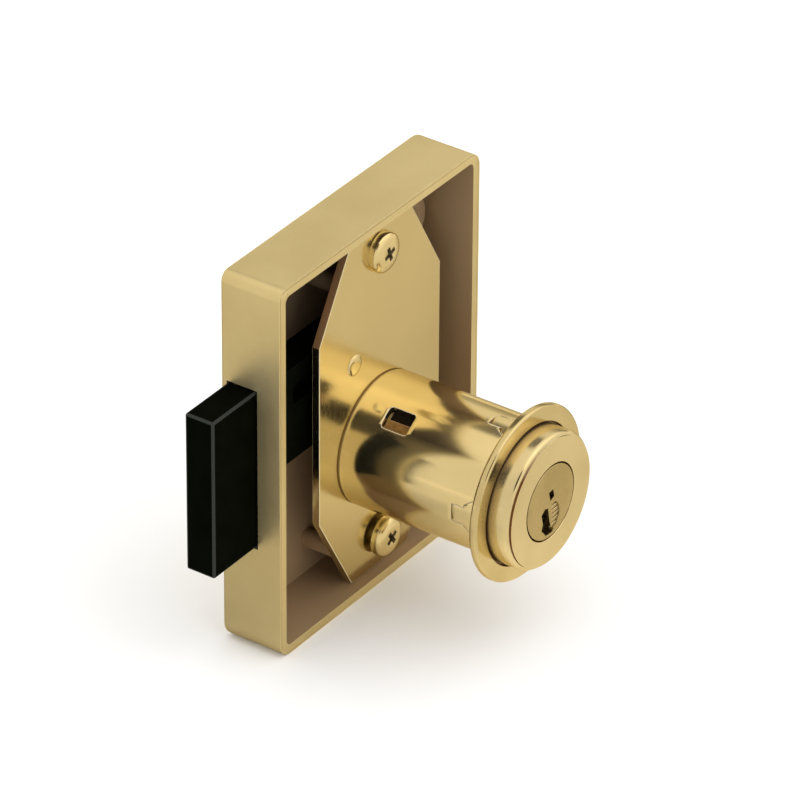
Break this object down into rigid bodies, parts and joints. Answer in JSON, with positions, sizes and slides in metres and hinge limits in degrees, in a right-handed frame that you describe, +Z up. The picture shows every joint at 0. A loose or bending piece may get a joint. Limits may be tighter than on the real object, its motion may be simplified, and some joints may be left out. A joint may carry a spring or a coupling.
{
  "type": "furniture lock",
  "caption": "Rim lock for a drawer or cupboard door: brass tray case, cylinder barrel with rosette and key plug, and a black sliding bolt.",
  "frame": {"origin": "on the key axis, in the plane of the case's open rim, which lies on the panel's inner face", "axes": "+X away from the bolt's nose, -Y along the barrel towards the key, +Z up the case"},
  "size_m": [0.0542, 0.035, 0.0563],
  "materials": {
    "satin_brass": "satin, finely grained",
    "plate_brass": "smooth satin",
    "screw_brass": "satin",
    "polished_brass": "polished",
    "rosette_brass": "semi-gloss",
    "head_brass": "polished",
    "plug_brass": "brushed",
    "wafer_brass": "stamped",
    "steel": "zinc plated",
    "spring_steel": "drawn",
    "black_bolt": "black, semi-gloss"
  },
  "bodies": {
    "case": {"lock_case": "satin_brass", "cover_plate": "plate_brass", "plate_screws": "screw_brass", "guide_stud": "screw_brass", "barrel_sleeve": "polished_brass", "rosette": "rosette_brass", "core_housing": "head_brass", "stop_pin": "steel", "core_catch_spring": "spring_steel", "bolt_spring": "spring_steel"},
    "core_catch": {"core_catch": "plug_brass"},
    "plug": {"key_plug": "plug_brass", "plug_clip": "spring_steel", "wafer_springs": "spring_steel", "driver_disc": "steel", "driver_pin": "steel", "driver_screw": "steel"},
    "bolt": {"bolt": "black_bolt"},
    "wafer_1": {"wafer_1": "wafer_brass"},
    "wafer_2": {"wafer_2": "wafer_brass"},
    "wafer_3": {"wafer_3": "wafer_brass"},
    "wafer_4": {"wafer_4": "wafer_brass"},
    "wafer_5": {"wafer_5": "wafer_brass"}
  },
  "joints": [
    {"name": "plug_turn", "type": "hinge", "parent": "case", "child": "plug", "pos_m": [0, 0, 0], "axis": [0, 1, 0], "range_deg": [0, 90]},
    {"name": "bolt_throw", "type": "slide", "parent": "case", "child": "bolt", "axis": [1, 0, 0], "range_m": [0, 0.0092]},
    {"name": "core_catch_press", "type": "slide", "parent": "case", "child": "core_catch", "axis": [0.5736, 0, -0.8192], "range_m": [0, 0.0007], "stiffness_N_per_m": 300, "springref_m": -0.0005, "deforming": ["core_catch_spring"]},
    {"name": "wafer_1_slide", "type": "slide", "parent": "plug", "child": "wafer_1", "axis": [0, 0, 1], "range_m": [0, 0.00075], "deforming": ["wafer_springs"]},
    {"name": "wafer_2_slide", "type": "slide", "parent": "plug", "child": "wafer_2", "axis": [0, 0, 1], "range_m": [0, 0.00075]},
    {"name": "wafer_3_slide", "type": "slide", "parent": "plug", "child": "wafer_3", "axis": [0, 0, 1], "range_m": [0, 0.00075]},
    {"name": "wafer_4_slide", "type": "slide", "parent": "plug", "child": "wafer_4", "axis": [0, 0, 1], "range_m": [0, 0.00075]},
    {"name": "wafer_5_slide", "type": "slide", "parent": "plug", "child": "wafer_5", "axis": [0, 0, 1], "range_m": [0, 0.00075]}
  ],
  "couplings": [
    {"joint": "plug_turn", "follows": "bolt_throw", "rad_per_m": 170.73},
    {"joint": "wafer_2_slide", "follows": "wafer_1_slide", "ratio": 1},
    {"joint": "wafer_3_slide", "follows": "wafer_1_slide", "ratio": 1},
    {"joint": "wafer_4_slide", "follows": "wafer_1_slide", "ratio": 1},
    {"joint": "wafer_5_slide", "follows": "wafer_1_slide", "ratio": 1}
  ]
}
